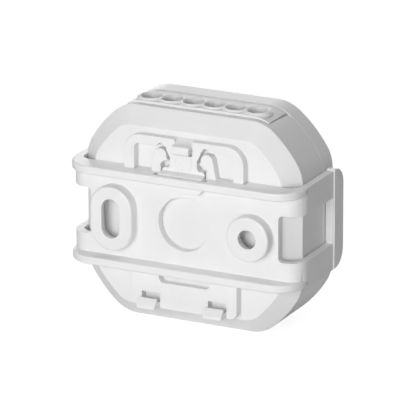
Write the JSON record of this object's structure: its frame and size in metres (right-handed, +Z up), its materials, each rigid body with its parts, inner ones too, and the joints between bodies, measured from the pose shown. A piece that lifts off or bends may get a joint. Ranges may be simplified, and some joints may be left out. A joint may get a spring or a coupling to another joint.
{
  "type": "smart relay module",
  "caption": "White eight-sided flush-mount relay module with wire entries on its top edge, held in a clip-on bracket with a sliding rail latch, claws and two screw bosses.",
  "frame": {"origin": "middle of the whole object's footprint, at its lowest level", "axes": "+Z up towards the wire entries, +X across the module, -Y the bracket side that faces the wall or rail"},
  "size_m": [0.0558, 0.025, 0.0484],
  "materials": {
    "white_polycarbonate": "fine satin moulding texture",
    "white_bracket_plastic": "smooth satin moulding",
    "white_terminal_plastic": "smooth satin moulding",
    "white_button_plastic": "smooth satin moulding",
    "clear_light_pipe": "clear moulded rod",
    "zinc_plated_steel": "bright zinc plating",
    "tinned_brass": "dull tin plating",
    "board_laminate": "green solder mask",
    "radio_laminate": "dark blue solder mask",
    "shield_tinplate": "drawn tinplate",
    "relay_plastic": "black moulding",
    "bobbin_plastic": "natural moulding",
    "copper_wire": "enamelled copper wire",
    "soft_iron": "nickel plated",
    "contact_alloy": "copper leaf with a silver contact",
    "capacitor_sleeve": "shrink sleeve over an aluminium can",
    "ferrite": "sintered",
    "film_capacitor_resin": "yellow potting case",
    "varistor_coating": "blue dipped coating",
    "resistor_coating": "lacquered",
    "chip_epoxy": "moulded epoxy",
    "switch_plastic": "black moulding",
    "led_resin": "clear resin"
  },
  "bodies": {
    "module": {"base_shell": "white_polycarbonate", "lid": "white_polycarbonate", "mounting_bracket": "white_bracket_plastic", "terminal_block": "white_terminal_plastic", "light_pipe": "clear_light_pipe", "terminal_contacts": "tinned_brass", "circuit_board": "board_laminate", "radio_board": "radio_laminate", "radio_shield": "shield_tinplate", "relay_case": "relay_plastic", "relay_base": "relay_plastic", "relay_bobbin": "bobbin_plastic", "relay_winding": "copper_wire", "inductor_winding": "copper_wire", "relay_core": "soft_iron", "relay_yoke": "soft_iron", "relay_fixed_contact": "contact_alloy", "input_capacitor": "capacitor_sleeve", "output_capacitor": "capacitor_sleeve", "inductor_core": "ferrite", "film_capacitor": "film_capacitor_resin", "varistor": "varistor_coating", "fuse_resistor": "resistor_coating", "bridge_rectifier": "chip_epoxy", "power_chip": "chip_epoxy", "switch_body": "switch_plastic", "status_led": "led_resin"},
    "latch": {"rail_latch": "white_bracket_plastic"},
    "button": {"pairing_button": "white_button_plastic", "switch_plunger": "switch_plastic"},
    "armature": {"relay_armature": "soft_iron", "relay_moving_contact": "contact_alloy"},
    "screw_1": {"terminal_screw_1": "zinc_plated_steel"},
    "cage_1": {"terminal_cage_1": "zinc_plated_steel"},
    "screw_2": {"terminal_screw_2": "zinc_plated_steel"},
    "cage_2": {"terminal_cage_2": "zinc_plated_steel"},
    "screw_3": {"terminal_screw_3": "zinc_plated_steel"},
    "cage_3": {"terminal_cage_3": "zinc_plated_steel"},
    "screw_4": {"terminal_screw_4": "zinc_plated_steel"},
    "cage_4": {"terminal_cage_4": "zinc_plated_steel"},
    "screw_5": {"terminal_screw_5": "zinc_plated_steel"},
    "cage_5": {"terminal_cage_5": "zinc_plated_steel"},
    "screw_6": {"terminal_screw_6": "zinc_plated_steel"},
    "cage_6": {"terminal_cage_6": "zinc_plated_steel"}
  },
  "joints": [
    {"name": "latch_slide", "type": "slide", "parent": "module", "child": "latch", "axis": [0, 0, 1], "range_m": [0, 0.0009], "stiffness_N_per_m": 600},
    {"name": "button_press", "type": "slide", "parent": "module", "child": "button", "axis": [0, -1, 0], "range_m": [0, 0.0003], "stiffness_N_per_m": 2000},
    {"name": "armature_tilt", "type": "hinge", "parent": "module", "child": "armature", "pos_m": [-0.00585, 0.00675, 0.02375], "axis": [0, 0, 1], "range_deg": [-3, 0], "stiffness_Nm_per_rad": 0.02},
    {"name": "screw_1_turn", "type": "hinge", "parent": "module", "child": "screw_1", "pos_m": [-0.0127, 0.007, 0.04125], "axis": [0, -1, 0], "range_deg": [0, 1921]},
    {"name": "cage_1_rise", "type": "slide", "parent": "module", "child": "cage_1", "axis": [0, 1, 0], "range_m": [0, 0.0024]},
    {"name": "screw_2_turn", "type": "hinge", "parent": "module", "child": "screw_2", "pos_m": [-0.00762, 0.007, 0.04125], "axis": [0, -1, 0], "range_deg": [0, 1921]},
    {"name": "cage_2_rise", "type": "slide", "parent": "module", "child": "cage_2", "axis": [0, 1, 0], "range_m": [0, 0.0024]},
    {"name": "screw_3_turn", "type": "hinge", "parent": "module", "child": "screw_3", "pos_m": [-0.00254, 0.007, 0.04125], "axis": [0, -1, 0], "range_deg": [0, 1921]},
    {"name": "cage_3_rise", "type": "slide", "parent": "module", "child": "cage_3", "axis": [0, 1, 0], "range_m": [0, 0.0024]},
    {"name": "screw_4_turn", "type": "hinge", "parent": "module", "child": "screw_4", "pos_m": [0.00254, 0.007, 0.04125], "axis": [0, -1, 0], "range_deg": [0, 1921]},
    {"name": "cage_4_rise", "type": "slide", "parent": "module", "child": "cage_4", "axis": [0, 1, 0], "range_m": [0, 0.0024]},
    {"name": "screw_5_turn", "type": "hinge", "parent": "module", "child": "screw_5", "pos_m": [0.00762, 0.007, 0.04125], "axis": [0, -1, 0], "range_deg": [0, 1921]},
    {"name": "cage_5_rise", "type": "slide", "parent": "module", "child": "cage_5", "axis": [0, 1, 0], "range_m": [0, 0.0024]},
    {"name": "screw_6_turn", "type": "hinge", "parent": "module", "child": "screw_6", "pos_m": [0.0127, 0.007, 0.04125], "axis": [0, -1, 0], "range_deg": [0, 1921]},
    {"name": "cage_6_rise", "type": "slide", "parent": "module", "child": "cage_6", "axis": [0, 1, 0], "range_m": [0, 0.0024]}
  ],
  "couplings": [
    {"joint": "screw_1_turn", "follows": "cage_1_rise", "rad_per_m": 13963},
    {"joint": "screw_2_turn", "follows": "cage_2_rise", "rad_per_m": 13963},
    {"joint": "screw_3_turn", "follows": "cage_3_rise", "rad_per_m": 13963},
    {"joint": "screw_4_turn", "follows": "cage_4_rise", "rad_per_m": 13963},
    {"joint": "screw_5_turn", "follows": "cage_5_rise", "rad_per_m": 13963},
    {"joint": "screw_6_turn", "follows": "cage_6_rise", "rad_per_m": 13963}
  ]
}
